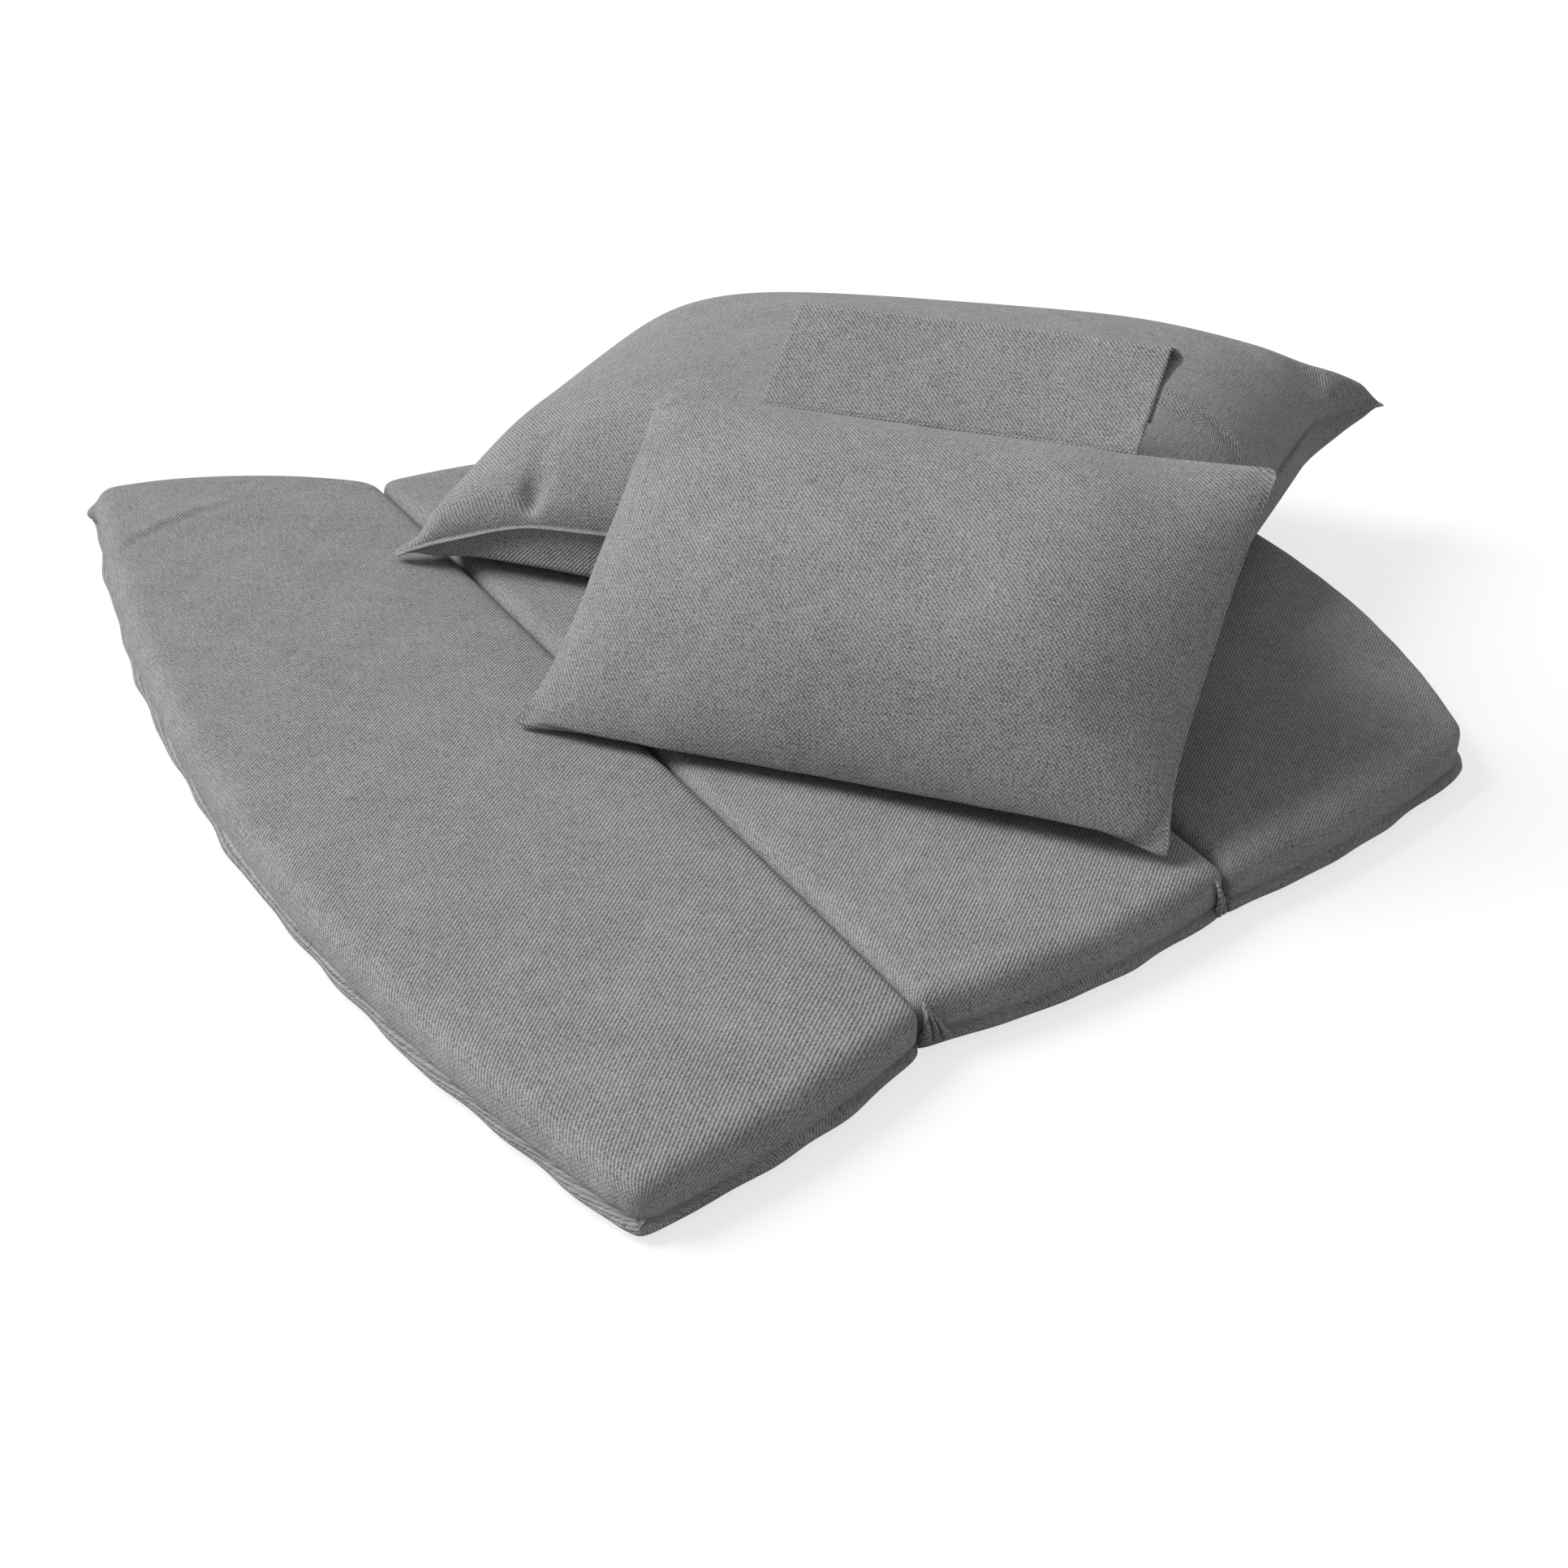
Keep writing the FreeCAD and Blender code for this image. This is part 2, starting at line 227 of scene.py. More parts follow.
def beside_path(x, y, path):
    """Distance to the left of a path on the plan, and how far along it, from 0 to 1."""
    best = np.full(x.shape, np.inf)
    side = np.zeros_like(x)
    along = np.zeros_like(x)
    steps = [math.dist(a, b) for a, b in zip(path, path[1:])]
    run = 0.0
    for (ax, ay), (bx, by), step in zip(path, path[1:], steps):
        dx, dy = (bx - ax) / step, (by - ay) / step
        t = np.clip((x - ax) * dx + (y - ay) * dy, 0, step)
        away = np.hypot(x - ax - t * dx, y - ay - t * dy)
        left = np.where((y - ay) * dx - (x - ax) * dy < 0, -1, 1)
        nearer = away < best
        side = np.where(nearer, left * away, side)
        along = np.where(nearer, (run + t) / sum(steps), along)
        best = np.minimum(best, away)
        run += step
    return side, along


def new_piece(name, points, faces, cloth):
    """An object from points, faces and a place on the cloth for each corner of each face."""
    mesh = bpy.data.meshes.new(name)
    mesh.from_pydata(points.tolist(), [], faces.tolist())
    mesh.uv_layers.new(name="UVMap").data.foreach_set("uv", cloth.ravel())
    mesh.shade_smooth()
    piece = bpy.data.objects.new(name, mesh)
    bpy.context.scene.collection.objects.link(piece)
    return piece


def quads(grid, turn):
    """The four corners of every cell of a grid, wound one way or the other."""
    return np.stack([grid[:-1, :-1], grid[1:, :-1], grid[1:, 1:], grid[:-1, 1:]][::turn], 2)


def sewn_sheets(name, upper, lower, upper_map, lower_map):
    """A closed piece of two cloth sheets that share their edge, with a cloth map on each."""
    rows, columns = upper.shape[:2]
    inner = np.zeros((rows, columns), bool)
    inner[1:-1, 1:-1] = True
    upper_index = np.arange(rows * columns).reshape(rows, columns)
    lower_index = upper_index.copy()
    lower_index[inner] = rows * columns + np.arange(inner.sum())
    points = np.concatenate([upper.reshape(-1, 3), lower[inner]])
    faces = np.concatenate([quads(upper_index, 1).reshape(-1, 4), quads(lower_index, -1).reshape(-1, 4)])
    cloth = np.concatenate([quads(upper_map, 1).reshape(-1, 2), quads(lower_map, -1).reshape(-1, 2)])
    piece = new_piece(name, points, faces, cloth)
    ends = np.empty(2 * len(piece.data.edges), int)
    piece.data.edges.foreach_get("vertices", ends)
    on_rim = np.zeros(len(points), bool)
    on_rim[upper_index[~inner]] = True
    sewn = on_rim[ends].reshape(-1, 2).all(1)
    piece.data.attributes.new("crease_edge", "FLOAT", "EDGE").data.foreach_set("value", sewn.astype(float))
    return piece


def round_off(piece):
    """One more subdivision, so that cloth shows no flat facets."""
    smooth = piece.modifiers.new("Round", "SUBSURF")
    smooth.levels = smooth.render_levels = 1


def finish_cushion(piece, body, nodes):
    """Round the cloth once more, dress it in the cover cloth, hide the parts it stands for and let it ride
    on its body.
    """
    round_off(piece)
    piece.data.materials.append(cover_cloth)
    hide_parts(*nodes)
    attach(piece, body)


def top_profile(step, at_fold):
    """How far in and how high the top cover is, that far along the cloth from the sewn line."""
    shoulder = FOLD_SHOULDER if at_fold else SHOULDER
    rise = PAD_HEIGHT - shoulder - SEAM_HEIGHT
    angle = np.clip((step - rise) / shoulder, 0, math.pi / 2)
    inset = shoulder * (1 - np.cos(angle)) + np.maximum(step - rise - shoulder * math.pi / 2, 0)
    height = SEAM_HEIGHT + np.minimum(step, rise) + shoulder * np.sin(angle)
    share = np.clip((inset - shoulder) / (CROWN_REACH - shoulder), 0, 1)
    return inset + SEAM_DRAW * bell(step, SEAM_GROOVE), height + CROWN_RISE * share * (2 - share)


def base_profile(step, at_fold):
    """How far in and how high the base cover is, that far along the cloth from the sewn line."""
    tuck = FOLD_TUCK if at_fold else BASE_TUCK
    slant = math.hypot(tuck, SEAM_HEIGHT)
    share = np.clip(step / slant, 0, 1)
    inset = tuck * share ** BASE_CURVES[0] + np.maximum(step - slant, 0)
    return inset + SEAM_DRAW * bell(step, SEAM_GROOVE), SEAM_HEIGHT * (1 - share) ** BASE_CURVES[1]


def both_sides(side_length, span):
    """Steps along the cloth from each edge, and shares of the stretch between them."""
    side = np.linspace(0, 1, SIDE_STEPS) ** SIDE_SPACING * side_length
    middle = np.linspace(0, 1, max(int(span / CLOTH_STEP), 4))
    return side, middle


def spread(side, middle, span, profile, folds):
    """Place across a panel, height there and place on the cloth, for a span that may vary."""
    (inset, height), (end_inset, end_height) = profile(side, folds[0]), profile(side, folds[1])
    span = np.asarray(span)[..., None]
    flat = np.maximum(span - inset[-1] - end_inset[-1], LEAST_FLAT)
    between = inset[-1] + flat * middle[1:-1]
    ones = np.ones_like(span)
    place = np.concatenate([ones * inset, between, span - end_inset[::-1]], -1)
    crown = np.minimum(
        profile(side[-1] + between - inset[-1], folds[0])[1],
        profile(side[-1] + span - between - end_inset[-1], folds[1])[1],
    )
    rise = np.concatenate([ones * height, crown, ones * end_height[::-1]], -1)
    cloth_end = 2 * side[-1] + flat
    cloth = np.concatenate([ones * side, side[-1] + between - inset[-1], cloth_end - side[::-1]], -1)
    return place, rise, cloth - cloth_end / 2


def round_corners(x, y, from_x, from_y, signs, radius):
    """Draw the corners of a plan in, given how far each point is from the edges."""
    near = np.stack([np.clip(1 - from_x / radius, 0, 1), np.clip(1 - from_y / radius, 0, 1)])
    shift = near * (1 - np.sqrt(1 - near[::-1] ** 2 / 2)) * radius
    return x - signs[0] * shift[0], y - signs[1] * shift[1]


def panel_sheet(corners, bows, fold, profile, side_length, peak):
    """One cover of a panel, laid over a four-sided plan with bowed edges, and the way out at its edges."""
    near_left, near_right, far_left, far_right = (np.array(corner) for corner in corners)
    left_bow, right_bow, near_bow, far_bow = bows

    def span_x(v):
        bulge = 4 * v * (1 - v)
        skewed = left_bow * bulge * (1 + END_SKEW * (1 - 2 * v))
        start = near_left[0] + (far_left[0] - near_left[0]) * v - skewed + FOLD_GAP * fold[0]
        end = near_right[0] + (far_right[0] - near_right[0]) * v + right_bow * bulge - FOLD_GAP * fold[1]
        return start, end

    def span_y(u):
        bulge = 4 * u * (1 - u)
        start = near_left[1] + (near_right[1] - near_left[1]) * u - near_bow * bulge
        return start, far_left[1] + (far_right[1] - far_left[1]) * u + far_bow * bulge

    width = np.subtract(*span_x(0.5)[::-1])
    side, across = both_sides(side_length, width)
    side, along = both_sides(side_length, np.subtract(*span_y(0.5)[::-1]))
    start, end = span_y(spread(side, across, width, profile, fold)[0] / width)
    v_place, v_rise, v_cloth = spread(side, along, end - start, profile, (0, 0))
    v = v_place / (end - start)[:, None]
    start, end = span_x(v.mean(0))
    u_place, u_rise, u_cloth = (part.T for part in spread(side, across, end - start, profile, fold))
    u = u_place / (end - start)[None, :]
    (start_x, end_x), (start_y, end_y) = span_x(v), span_y(u)
    x = start_x + (end_x - start_x) * u
    y = start_y + (end_y - start_y) * v
    way_x, way_y = np.where(u < 0.5, -1, 1), np.where(v < 0.5, -1, 1)
    from_x, from_y = np.minimum(x - start_x, end_x - x), np.minimum(y - start_y, end_y - y)
    at_fold = np.where(u < 0.5, fold[0], fold[1])
    free_round = np.where((u < 0.5) & (v > 0.5), EAR_CORNER_ROUND, CORNER_ROUND)
    radius = np.where(at_fold, np.where(v < 0.5, FOLD_CORNER_ROUND, FAR_NOTCH_ROUND), free_round)
    x, y = round_corners(x, y, from_x, from_y, (way_x, way_y), radius)
    rises = np.clip((np.stack([u_rise, v_rise]) - SEAM_HEIGHT) / (peak - SEAM_HEIGHT), LEAST_RISE, 1)
    blended = (rises[0] ** -SHOULDER_BLEND + rises[1] ** -SHOULDER_BLEND - 1) ** (-1 / SHOULDER_BLEND)
    z = SEAM_HEIGHT + (peak - SEAM_HEIGHT) * blended
    z[[0, -1], :] = SEAM_HEIGHT
    z[:, [0, -1]] = SEAM_HEIGHT
    outward = way_x * bell(from_x, SIDE_FADE) * (1 - at_fold), way_y * bell(from_y, SIDE_FADE)
    return np.stack([x, y, z], -1), np.stack([u_cloth, -v_cloth], -1), outward


def make_panel(corners, bows, fold, seed):
    """The two covers of a panel with their side waves, and their cloth maps. The base is cut on the bias."""
    top_side = PAD_HEIGHT + SHOULDER
    upper, upper_map, out = panel_sheet(corners, bows, fold, top_profile, top_side, PAD_HEIGHT + CROWN_RISE)
    low = np.clip((upper[..., 2] - SEAM_HEIGHT) / (PAD_HEIGHT - SEAM_HEIGHT), 0, 1)
    wave = SIDE_WAVE * np.sin(np.pi * low)
    upper[..., 0] += wave * out[0] * ripple(upper[..., 1], SIDE_WAVE_LENGTHS[0], seed)
    upper[..., 1] += wave * out[1] * ripple(upper[..., 0], SIDE_WAVE_LENGTHS[1], seed + 1)
    slanted = upper[..., 0] + SLACK_SLANT * upper[..., 1]
    upper[..., 2] -= SLACK * low ** 2 * (1 + ripple(slanted, SLACK_LENGTH, seed + 2))
    lower, lower_map, out = panel_sheet(corners, bows, fold, base_profile, top_side, 0.0)
    hang = BASE_BULGE * np.sin(np.pi * np.clip(lower[..., 2] / SEAM_HEIGHT, 0, 1))
    lower[..., 0] += hang * out[0] * (1 + ripple(lower[..., 1], BASE_WAVE_LENGTHS[0], seed + 3))
    lower[..., 1] += hang * out[1] * (1 + ripple(lower[..., 0], BASE_WAVE_LENGTHS[1], seed + 4))
    on_the_bias = lower_map @ np.array([[1, 1], [-1, 1]]) / math.sqrt(2)
    return upper, lower, upper_map, on_the_bias


def sew_panel(name, body, covers):
    """A panel of the pad, closed all round."""
    nodes = [name + end for end in ("_top_cover", "_base_cover", "_foam")]
    finish_cushion(sewn_sheets(name, *covers), body, nodes)


def middle_x(node):
    """Middle of a node across the pad."""
    low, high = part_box(node)
    return (low.x + high.x) / 2


wide_fold_x = middle_x("wide_fold_seam")
narrow_fold_x = middle_x("narrow_fold_seam")
SEAM_SETBACK = 0.012
wide_seam_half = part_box("wide_fold_seam")[1].y + SEAM_SETBACK
narrow_seam_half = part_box("narrow_fold_seam")[1].y + SEAM_SETBACK
WIDE_END_BOW = 0.066
NARROW_END_BOW = 0.065
SIDE_BOW = 0.010
CENTRE_NEAR_BOW = 0.014
WIDE_FAR_BOW = 0.018
FAR_SEAM_REACH = 0.014
NEAR_SEAM_REACH = 0.007
WIDE_NEAR_CORNER = (-0.3355, -0.484)
WIDE_FAR_CORNER = (-0.3155, 0.510)
NARROW_END = 0.3615
NARROW_END_HALF = 0.302
wide_near = (wide_fold_x, -wide_seam_half)
wide_far = (wide_fold_x, wide_seam_half + FAR_SEAM_REACH)
narrow_near = (narrow_fold_x, -narrow_seam_half)
narrow_far = (narrow_fold_x, narrow_seam_half)

# The wide panel has a crease across its far corner, a small ear of cloth pinched out of that corner, and
# a dart where the cloth is taken in at the near corner.
CREASE_PATH = [(-0.340, 0.372), (-0.323, 0.391), (-0.295, 0.401), (-0.267, 0.410), (-0.206, 0.419)]
CREASE_WIDTH = 0.0050
CREASE_DEPTH = 0.0017
CREASE_START = 0.12
CREASE_LOW = 0.03
CREASE_FADE = 0.01
VALLEY_DEPTH = 1.2
VALLEY_SHIFT = 0.3
EAR_PLACE = (-0.3100, 0.4990, 0.0170)
EAR_WIDTH = 0.009
EAR_DEPTH = 0.008
EAR_REACH = (-0.0150, 0.0020)
DART_PLACE = (-0.3365, -0.468)
DART_WIDTH = 0.0034
DART_DEPTH = 0.0032
DART_LEVEL = 0.020
DART_SPREAD = 0.014
DART_WAY = (0.6, 0.8)

wide_near_reach = (wide_fold_x, -wide_seam_half - NEAR_SEAM_REACH)
wide_corners = (WIDE_NEAR_CORNER, wide_near_reach, WIDE_FAR_CORNER, wide_far)
covers = make_panel(wide_corners, (WIDE_END_BOW, 0, SIDE_BOW, WIDE_FAR_BOW), (0, 1), seed=3)
wide_top = covers[0]
x, y, z = np.moveaxis(wide_top, -1, 0).copy()
aside, along = beside_path(x, y, CREASE_PATH)
crease_run = np.sin(np.pi * np.clip(CREASE_START + (1 - CREASE_START) * along, 0, 1))
crease_run = crease_run * np.clip((z - CREASE_LOW) / CREASE_FADE, 0, 1)
valley = VALLEY_DEPTH * bell(aside + VALLEY_SHIFT * CREASE_WIDTH, CREASE_WIDTH)
ridge = bell(aside - CREASE_WIDTH, CREASE_WIDTH) - valley
wide_top[..., 2] += CREASE_DEPTH * ridge * crease_run
dart = bell(np.hypot(x - DART_PLACE[0], y - DART_PLACE[1]), DART_WIDTH) * bell(z - DART_LEVEL, DART_SPREAD)
for axis, way in enumerate(DART_WAY):
    wide_top[..., axis] += way * DART_DEPTH * dart
for cover in covers[:2]:
    from_ear = np.hypot(cover[..., 0] - EAR_PLACE[0], cover[..., 1] - EAR_PLACE[1])
    ear = bell(from_ear, EAR_WIDTH) * bell(cover[..., 2] - EAR_PLACE[2], EAR_DEPTH)
    for axis, reach in enumerate(EAR_REACH):
        cover[..., axis] += reach * ear
sew_panel("wide_panel", "wide_wing", covers)

centre_corners = (wide_near, narrow_near, wide_far, narrow_far)
covers = make_panel(centre_corners, (0, 0, CENTRE_NEAR_BOW, SIDE_BOW), (1, 1), seed=13)
sew_panel("centre_panel", "centre_panel", covers)

narrow_corners = (narrow_near, (NARROW_END, -NARROW_END_HALF), narrow_far, (NARROW_END, NARROW_END_HALF))
covers = make_panel(narrow_corners, (0, NARROW_END_BOW, SIDE_BOW, SIDE_BOW), (1, 0), seed=23)
sew_panel("narrow_panel", "narrow_wing", covers)

# Fold seams
# A strip of cloth under each fold joins the covers of two panels. It is sewn down along both edges, and
# the panels turn on it. At the near end of each fold the spare cloth of the covers is gathered up.

STRIP_HALF = 0.014
STRIP_THICK = 0.0007
STRIP_STEPS = (15, 120)
STITCH_INSET = 0.0025
STITCH_PITCH = 0.0042
STITCH_SIZE = (0.0007, 0.0007, 0.0030)
GATHER_THICK = 0.0010
GATHER_STEPS = (49, 25)
LOBE_SWING = 0.05
LOBE_TWIST = 4
LOBE_CURVE = 0.6
SWELL_START = 0.10
SWELL_RUN = 0.82
SWELL_CURVE = 0.7
THREAD_LIGHT = (0.300, 0.292, 0.288)
THREAD_DARK = (0.120, 0.116, 0.114)


def mottled(name, dark, light, scale, detail, roughness):
    """A finish that wavers between two tones, with its shader and the wavering."""
    material, shader, place = new_material(name, "Object")
    tone = noise(place, (scale, scale, scale), detail)
    material.node_tree.links.new(colour_between(tone, dark, light).socket, shader.inputs["Base Color"])
    shader.inputs["Roughness"].default_value = roughness
    return material, shader, tone


thread = mottled("sewing_thread", THREAD_DARK, THREAD_LIGHT, scale=3.0, detail=2.0, roughness=0.7)[0]

row_group = bpy.data.node_groups.new("row_of_parts", "GeometryNodeTree")
for label, kind in (("Path", "Geometry"), ("Pitch", "Float"), ("Size", "Vector"), ("Material", "Material")):
    row_group.interface.new_socket(label, in_out="INPUT", socket_type="NodeSocket" + kind)
row_group.interface.new_socket("Parts", in_out="OUTPUT", socket_type="NodeSocketGeometry")
given = row_group.nodes.new("NodeGroupInput").outputs
path = Value(row_group, given["Path"])
pitch, size, finish = (Value(row_group, given[label]) for label in ("Pitch", "Size", "Material"))
curve = path.node("GeometryNodeMeshToCurve", {}, {"Mesh": path})
spots = path.node("GeometryNodeCurveToPoints", {"mode": "LENGTH"}, {"Curve": curve, "Length": pitch})
turn = Value(row_group, spots.socket.node.outputs["Rotation"])
block = path.node("GeometryNodeMeshCube", {}, {"Size": size})
soft_block = path.node("GeometryNodeSubdivisionSurface", {}, {"Mesh": block, "Level": 1})
copies = path.node(
    "GeometryNodeInstanceOnPoints", {}, {"Points": spots, "Instance": soft_block, "Rotation": turn}
)
solid = path.node("GeometryNodeRealizeInstances", {}, {"Geometry": copies})
dressed = path.node("GeometryNodeSetMaterial", {}, {"Geometry": solid, "Material": finish})
row_group.links.new(dressed.socket, row_group.nodes.new("NodeGroupOutput").inputs["Parts"])
row_sockets = [item for item in row_group.interface.items_tree if item.in_out == "INPUT"]
row_inputs = {item.name: item.identifier for item in row_sockets}


def row_of_parts(name, points, spacing, part_size, material, body):
    """Small parts set along a path by the node group, as a plain mesh that rides on a body."""
    mesh = bpy.data.meshes.new(name)
    mesh.from_pydata([tuple(p) for p in points], [(i, i + 1) for i in range(len(points) - 1)], [])
    piece = bpy.data.objects.new(name, mesh)
    bpy.context.scene.collection.objects.link(piece)
    modifier = piece.modifiers.new("Row", "NODES")
    modifier.node_group = row_group
    modifier[row_inputs["Pitch"]] = spacing
    modifier[row_inputs["Size"]] = part_size
    modifier[row_inputs["Material"]] = material
    made = piece.evaluated_get(bpy.context.evaluated_depsgraph_get())
    piece.data = bpy.data.meshes.new_from_object(made)
    piece.modifiers.clear()
    piece.data.shade_smooth()
    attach(piece, body)


def cloth_sheet(name, points, thickness):
    """A thin sheet of cloth over a grid of points, with its own map."""
    index = np.arange(points.shape[0] * points.shape[1]).reshape(points.shape[:2])
    cloth = quads(cloth_map(points), 1).reshape(-1, 2)
    piece = new_piece(name, points.reshape(-1, 3), quads(index, 1).reshape(-1, 4), cloth)
    solid = piece.modifiers.new("Thickness", "SOLIDIFY")
    solid.thickness = thickness
    solid.offset = 0
    piece.data.materials.append(cover_cloth)
    return piece


def cloth_map(points):
    """Place of each point on the cloth, measured along the rows and columns from the middle."""
    maps = []
    for axis in (0, 1):
        step = np.linalg.norm(np.diff(points, axis=axis), axis=-1)
        start = np.zeros_like(np.take(points[..., 0], [0], axis))
        run = np.concatenate([start, np.cumsum(step, axis)], axis)
        maps.append(run - np.take(run, [run.shape[axis] // 2], axis))
    return np.stack(maps, -1)


def fold_strip(name, wing, way, fold_x, half):
    """The cloth strip under a fold, with a row of stitches along each edge."""
    across = np.linspace(-STRIP_HALF, STRIP_HALF, STRIP_STEPS[0])[:, None]
    along = np.linspace(-half, half, STRIP_STEPS[1])[None, :]
    level = -STRIP_THICK / 4 + 0 * across * along
    points = np.stack([fold_x + across + 0 * along, along + 0 * across, level], -1)
    strip = cloth_sheet(name, points, STRIP_THICK)
    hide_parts(name + "_seam")
    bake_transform(strip)
    for body, side in (("centre_panel", -way), (wing, way)):
        row_x = fold_x + side * (STRIP_HALF - STITCH_INSET)
        ends = [(row_x, -half, -STRIP_THICK / 2), (row_x, half, -STRIP_THICK / 2)]
        row_of_parts(f"{name}_stitches_{body}", ends, STITCH_PITCH, STITCH_SIZE, thread, body)


def gathered_end(name, apex, base_ends, lobes, reach):
    """Spare cloth drawn together at one point near the end of a fold, and fanning out below it in lobes."""
    fan = np.linspace(0, 1, GATHER_STEPS[0])[:, None]
    down = np.linspace(0, 1, GATHER_STEPS[1])[None, :]
    left, right = (np.array(end) for end in base_ends)
    base = left + (right - left) * fan[..., None]
    points = np.array(apex) + down[..., None] * (base - np.array(apex))
    swung = fan + LOBE_SWING * np.sin(2 * np.pi * fan + LOBE_TWIST * down)
    lobe = np.abs(np.sin(np.pi * lobes * swung)) ** LOBE_CURVE
    swell = np.sin(np.pi * (SWELL_START + SWELL_RUN * down)) ** SWELL_CURVE
    points[..., 1] += GATHER_THICK - reach * lobe * swell
    piece = cloth_sheet(name, points, GATHER_THICK)
    round_off(piece)
    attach(piece, "centre_panel")


WIDE_GATHER_APEX = (-0.1145, -0.4005, 0.0330)
WIDE_GATHER_BASE = (-0.1185, -0.4020, 0.0040), (-0.0950, -0.4050, 0.0075)
NARROW_GATHER_APEX = (0.1085, -0.3735, 0.0330)
NARROW_GATHER_BASE = (0.1095, -0.3745, 0.0070), (0.1190, -0.3720, 0.0075)
gathered_end("wide_fold_gather", WIDE_GATHER_APEX, WIDE_GATHER_BASE, lobes=3, reach=0.0085)
gathered_end("narrow_fold_gather", NARROW_GATHER_APEX, NARROW_GATHER_BASE, lobes=2, reach=0.0060)
fold_strip("wide_fold", "wide_wing", -1, wide_fold_x, wide_seam_half - SEAM_SETBACK)
fold_strip("narrow_fold", "narrow_wing", 1, narrow_fold_x, narrow_seam_half - SEAM_SETBACK)

# Back pillow
# A large knife-edge pillow of two covers over a loose fibre filling. Its ends and sides draw in between
# flat pointed corners, and it settles flat on the pad.

BACK_LENGTH = 0.614
BACK_WIDTH = 0.436
BACK_RISE = 0.098
BACK_DROP = 0.058
BACK_PULLS = (0.012, 0.022, 0.013)
BACK_FULLNESS = 3.9
BACK_FLARE = 7.0
BACK_EARS = (0.032, 0.016)
BACK_RIM = 0.005
BACK_CORNER = 0.013
BACK_STEPS = (190, 136)
BACK_PUCKER = 0.014
BACK_PUCKER_WIDTHS = (0.13, 0.11)
BACK_PUCKER_LENGTHS = (0.055, 0.05)
BACK_SLACK = 0.004
BACK_SLACK_LENGTHS = (0.19, 0.16)
BACK_SLACK_SLANTS = (0.3, 0.2)
BACK_DROP_CURVE = 0.75
FLOOR_BLEND = 6
LEAST_BULGE = 0.0001
LEAST_DEPTH = 0.001
RIM_HALF = 0.0014
ZIP_HALF = 0.0025
REST_GAP = 0.0006
PILLOW_CLEAR = 0.004
EAR_CLOSED = 0.15
BACK_TIP_SHIFTS = {(-1, -1): (-0.007, -0.001, -0.008), (1, 1): (0.006, 0.002, 0.0)}
TIP_REACH = 0.30
TIP_SWELL = {(1, 1): 0.040, (-1, 1): 0.018}
SWELL_REACH = 0.6
SEAM_LIFT = 0.027
SEAM_SPAN = (-0.300, 0.05)
SEAM_FADES = (0.110, 0.20)
SEAM_CURVE = 4
END_LIFT = 0.014
END_DRAW = 0.015
END_TOP = 0.190
END_FADE = 0.060
END_CURVE = 8
WALL_REACH = 0.020
WALL_SPAN = (-0.290, -0.06)
WALL_FADES = (0.090, 0.08)
WALL_SHARE = 0.35
WALL_CURVE = 6
DENT_PATH = [(-0.203, -0.200), (-0.206, -0.165), (-0.198, -0.130)]
DENT_DEPTH = 0.006
DENT_WIDTH = 0.010
PIT_DEPTH = 0.008
PIT_SHIFT = 0.012
PIT_WIDTH = 0.009
FILLED_SHARE = 0.3
HOLLOW_PLACE = (0.268, 0.165)
HOLLOW_DEPTH = 0.010
HOLLOW_WIDTH = 0.020
RIDGE_PATH = [(0.185, -0.008), (0.206, -0.010), (0.225, -0.011), (0.245, -0.014), (0.275, -0.026)]
RIDGE_HEIGHT = 0.0110
RIDGE_SHIFT = 0.005
RIDGE_WIDTH = 0.007
RIDGE_START = 0.1
RIDGE_RUN = 0.8
GROOVE_DEPTH = 1.2
GROOVE_SHIFT = 0.006
pad_top = PAD_HEIGHT + PILLOW_CLEAR


def joint(name):
    """The joint of that name."""
    return next(j for j in frame["joints"] if j["name"] == name)


def node_middle(node):
    """Middle of a node's box."""
    low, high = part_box(node)
    return (low + high) / 2


def axes(along, across, origin):
    """Matrix from a pillow's own axes, along and across it, to its place in the set."""
    out = along.cross(across)
    return Matrix.Translation(origin) @ Matrix((along, across, out)).transposed().to_4x4()


def pillow_grid(length, width, pulls, flare, fullness, ears, rim, corner, counts):
    """Plan of a pillow's cloth with a flat sewn rim, and the share of its crown at each point."""
    rows, columns = counts
    turn_u = np.concatenate([[-1, -1], np.linspace(-1, 1, rows), [1, 1]])[:, None]
    turn_v = np.concatenate([[-1, -1], np.linspace(-1, 1, columns), [1, 1]])[None, :]
    rim_steps = np.array([1.0, 0.5])
    out_u = np.concatenate([-rim_steps, np.zeros(rows), rim_steps[::-1]])[:, None] * rim
    out_v = np.concatenate([-rim_steps, np.zeros(columns), rim_steps[::-1]])[None, :] * rim
    u = np.sin(np.pi / 2 * turn_u)
    v = np.sin(np.pi / 2 * turn_v)
    half_x = length / 2 - np.where(u < 0, pulls[0], pulls[1]) * (1 - np.abs(v) ** flare)
    half_y = width / 2 - pulls[2] * (1 - np.abs(u) ** flare)
    x = u * (half_x - rim) + out_u
    y = v * (half_y - rim) + out_v
    share = np.sqrt(np.clip((1 - np.abs(u) ** fullness) * (1 - np.abs(v) ** fullness), 0, 1))
    from_tip = np.hypot(length / 2 - np.abs(x), width / 2 - np.abs(y))
    ear = ears[0] + (ears[1] - ears[0]) * (u + 1) / 2
    opening = np.clip(from_tip / ear - EAR_CLOSED, 0, 1)
    share = share * opening * opening * (3 - 2 * opening)
    x, y = round_corners(x, y, half_x - np.abs(x), half_y - np.abs(y), (np.sign(x), np.sign(y)), corner)
    edge = np.ones_like(share) * RIM_HALF
    edge[[0, -1], :] = 0
    edge[:, [0, -1]] = 0
    return x, y, share, edge, turn_u * np.ones_like(share), turn_v * np.ones_like(share)


